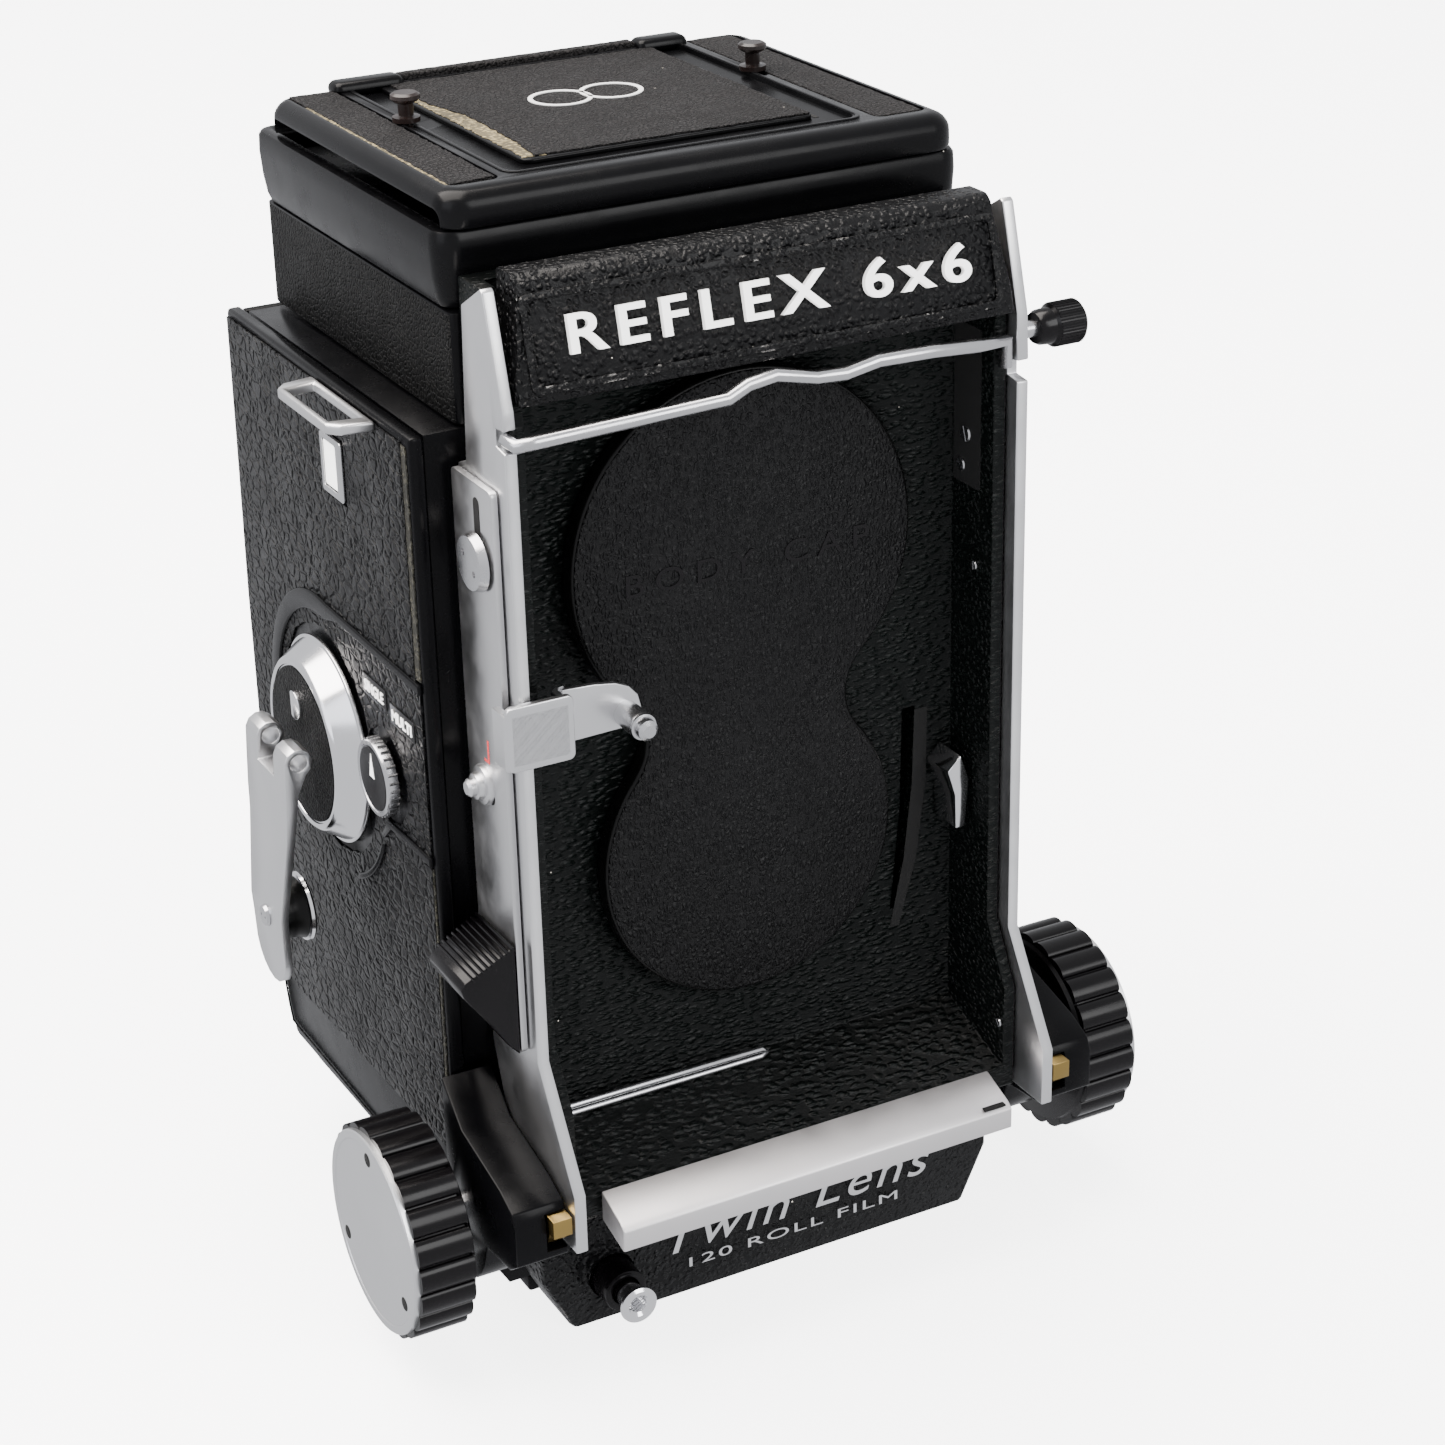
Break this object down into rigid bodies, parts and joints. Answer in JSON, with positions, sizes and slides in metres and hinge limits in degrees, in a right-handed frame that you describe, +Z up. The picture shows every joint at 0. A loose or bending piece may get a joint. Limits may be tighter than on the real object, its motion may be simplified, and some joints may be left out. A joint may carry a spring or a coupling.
{
  "type": "twin lens reflex camera",
  "caption": "Twin lens reflex camera body without its lens unit: rack focusing front standard, body cap, waist-level hood, film crank and hinged film door.",
  "frame": {"origin": "middle of the base plate's underside", "axes": "+Z up from the base to the hood, -Y towards the lens side, +X towards the shoe side (the crank is on the -X side)"},
  "size_m": [0.121, 0.0974, 0.1722],
  "materials": {
    "black_enamel": "satin black enamel on light alloy",
    "black_anodised": "black anodised",
    "leatherette": "pebbled leatherette",
    "leatherette_alloy": "leatherette over light alloy",
    "satin_aluminium": "satin anodised",
    "chrome": "polished chrome",
    "steel": "bright steel",
    "brass": "machined brass",
    "black_cloth": "black coated cloth",
    "clear_glass": "clear glass",
    "mirror_glass": "front-silvered",
    "black_plastic": "moulded black plastic"
  },
  "bodies": {
    "camera_body": {"main_casting": "black_enamel", "crank_side_cover": "leatherette", "plain_side_cover": "leatherette", "base_plate": "black_enamel", "tripod_bush": "brass", "front_base_housing": "black_enamel", "film_gate": "black_anodised", "mirror": "mirror_glass", "finder_housing": "leatherette_alloy", "focusing_screen": "clear_glass", "strap_lug_left": "satin_aluminium", "strap_lug_right": "satin_aluminium", "counter_window": "clear_glass", "accessory_shoe": "satin_aluminium", "focus_arm_left": "black_enamel", "focus_arm_right": "black_enamel", "release_button_guide": "black_anodised", "hood_base": "black_enamel"},
    "front_standard": {"standard_frame": "leatherette_alloy", "side_plate_left": "satin_aluminium", "side_plate_right": "satin_aluminium", "nameplate_housing": "black_enamel", "lens_ledge": "satin_aluminium", "rack_left": "brass", "rack_right": "brass", "body_cap": "leatherette", "bellows": "black_cloth"},
    "focus_shaft": {"focus_axle": "steel", "pinion_left": "brass", "pinion_right": "brass", "focus_knob_left": "black_anodised", "focus_knob_right": "black_anodised"},
    "crank": {"crank_hub": "chrome", "crank_gear": "brass"},
    "crank_arm": {"crank_arm": "satin_aluminium"},
    "crank_handle": {"crank_handle": "black_plastic"},
    "selector": {"selector_knob": "steel"},
    "take_up": {"take_up_gear": "brass", "take_up_spool": "black_plastic"},
    "supply": {"supply_spool": "black_plastic"},
    "spool_knob_upper": {"spool_knob_upper": "black_anodised"},
    "spool_knob_lower": {"spool_knob_lower": "black_anodised"},
    "release_bar": {"release_bar": "satin_aluminium", "thumb_piece": "black_anodised", "release_bracket": "satin_aluminium"},
    "release_button": {"release_button": "chrome"},
    "lens_wire": {"lens_wire": "steel"},
    "lock_knob": {"lock_knob": "black_anodised"},
    "back_door": {"back_door": "leatherette_alloy", "pressure_plate": "steel"},
    "door_latch": {"door_latch": "black_enamel"},
    "hood_lid": {"hood_lid": "black_enamel"},
    "hood_wing_left": {"hood_wing_left": "black_enamel"},
    "hood_wing_right": {"hood_wing_right": "black_enamel"},
    "hood_wing_rear": {"hood_wing_rear": "black_enamel"},
    "magnifier": {"magnifier_frame": "black_enamel", "magnifier_lens": "clear_glass"},
    "stud_left": {"stud_left": "black_anodised"},
    "stud_right": {"stud_right": "black_anodised"},
    "cocking_lever": {"cocking_lever": "chrome"}
  },
  "joints": [
    {"name": "focus_slide", "type": "slide", "parent": "camera_body", "child": "front_standard", "axis": [0, -1, 0], "range_m": [0, 0.055], "deforming": ["bellows"]},
    {"name": "focus_turn", "type": "hinge", "parent": "camera_body", "child": "focus_shaft", "pos_m": [0, -0.0315, 0.0214], "axis": [1, 0, 0], "range_deg": [0, 631]},
    {"name": "crank_turn", "type": "hinge", "parent": "camera_body", "child": "crank", "pos_m": [0, 0.0081, 0.0797], "axis": [-1, 0, 0], "continuous": true},
    {"name": "crank_unfold", "type": "hinge", "parent": "crank", "child": "crank_arm", "pos_m": [-0.0542, 0.0081, 0.0806], "axis": [0, 1, 0], "range_deg": [0, 180]},
    {"name": "handle_spin", "type": "hinge", "parent": "crank_arm", "child": "crank_handle", "pos_m": [-0.057, 0.0084, 0.0535], "axis": [1, 0, 0], "continuous": true},
    {"name": "selector_turn", "type": "hinge", "parent": "camera_body", "child": "selector", "pos_m": [-0.046, -0.0134, 0.0825], "axis": [-1, 0, 0], "range_deg": [0, 45]},
    {"name": "take_up_turn", "type": "hinge", "parent": "camera_body", "child": "take_up", "pos_m": [0, 0.02558, 0.10857], "axis": [-1, 0, 0], "continuous": true},
    {"name": "supply_turn", "type": "hinge", "parent": "camera_body", "child": "supply", "pos_m": [0, 0.022, 0.0198], "axis": [-1, 0, 0], "continuous": true},
    {"name": "upper_knob_pull", "type": "slide", "parent": "camera_body", "child": "spool_knob_upper", "axis": [1, 0, 0], "range_m": [0, 0.006]},
    {"name": "lower_knob_pull", "type": "slide", "parent": "camera_body", "child": "spool_knob_lower", "axis": [1, 0, 0], "range_m": [0, 0.006]},
    {"name": "release_press", "type": "slide", "parent": "front_standard", "child": "release_bar", "axis": [0, 0, -1], "range_m": [0, 0.005]},
    {"name": "lower_release_press", "type": "slide", "parent": "camera_body", "child": "release_button", "axis": [0, 1, 0], "range_m": [0, 0.003]},
    {"name": "wire_swing", "type": "hinge", "parent": "front_standard", "child": "lens_wire", "pos_m": [0.0362, -0.0441, 0.139], "axis": [0, 0, 1], "range_deg": [0, 80]},
    {"name": "lock_turn", "type": "hinge", "parent": "front_standard", "child": "lock_knob", "pos_m": [0.04, -0.0398, 0.1396], "axis": [1, 0, 0], "range_deg": [0, 720]},
    {"name": "door_swing", "type": "hinge", "parent": "camera_body", "child": "back_door", "pos_m": [0, 0.013, 0.004], "axis": [-1, 0, 0], "range_deg": [0, 105]},
    {"name": "door_latch_slide", "type": "slide", "parent": "back_door", "child": "door_latch", "axis": [0, 0, 1], "range_m": [0, 0.003]},
    {"name": "lid_lift", "type": "hinge", "parent": "camera_body", "child": "hood_lid", "pos_m": [0, -0.0281, 0.1631], "axis": [1, 0, 0], "range_deg": [0, 90]},
    {"name": "wing_left_lift", "type": "hinge", "parent": "camera_body", "child": "hood_wing_left", "pos_m": [-0.0346, 0.005, 0.1604], "axis": [0, -1, 0], "range_deg": [0, 90]},
    {"name": "wing_right_lift", "type": "hinge", "parent": "camera_body", "child": "hood_wing_right", "pos_m": [0.0346, 0.005, 0.1592], "axis": [0, 1, 0], "range_deg": [0, 90]},
    {"name": "wing_rear_lift", "type": "hinge", "parent": "camera_body", "child": "hood_wing_rear", "pos_m": [0, 0.0326, 0.158], "axis": [-1, 0, 0], "range_deg": [0, 90]},
    {"name": "magnifier_swing", "type": "hinge", "parent": "hood_lid", "child": "magnifier", "pos_m": [0, 0.03, 0.1653], "axis": [1, 0, 0], "range_deg": [0, 90]},
    {"name": "stud_left_slide", "type": "slide", "parent": "hood_lid", "child": "stud_left", "axis": [0, -1, 0], "range_m": [0, 0.0025]},
    {"name": "stud_right_slide", "type": "slide", "parent": "hood_lid", "child": "stud_right", "axis": [0, -1, 0], "range_m": [0, 0.0025]},
    {"name": "cocking_swing", "type": "hinge", "parent": "front_standard", "child": "cocking_lever", "pos_m": [-0.008, -0.036, 0.07], "axis": [0, 1, 0], "range_deg": [0, 30]}
  ],
  "couplings": [
    {"joint": "focus_turn", "follows": "focus_slide", "rad_per_m": 200},
    {"joint": "take_up_turn", "follows": "crank_turn", "ratio": -2.2143},
    {"joint": "supply_turn", "follows": "crank_turn", "ratio": 1.5},
    {"joint": "wing_left_lift", "follows": "lid_lift", "ratio": 1},
    {"joint": "wing_right_lift", "follows": "lid_lift", "ratio": 1},
    {"joint": "wing_rear_lift", "follows": "lid_lift", "ratio": 1},
    {"joint": "magnifier_swing", "follows": "lid_lift", "ratio": 1}
  ]
}
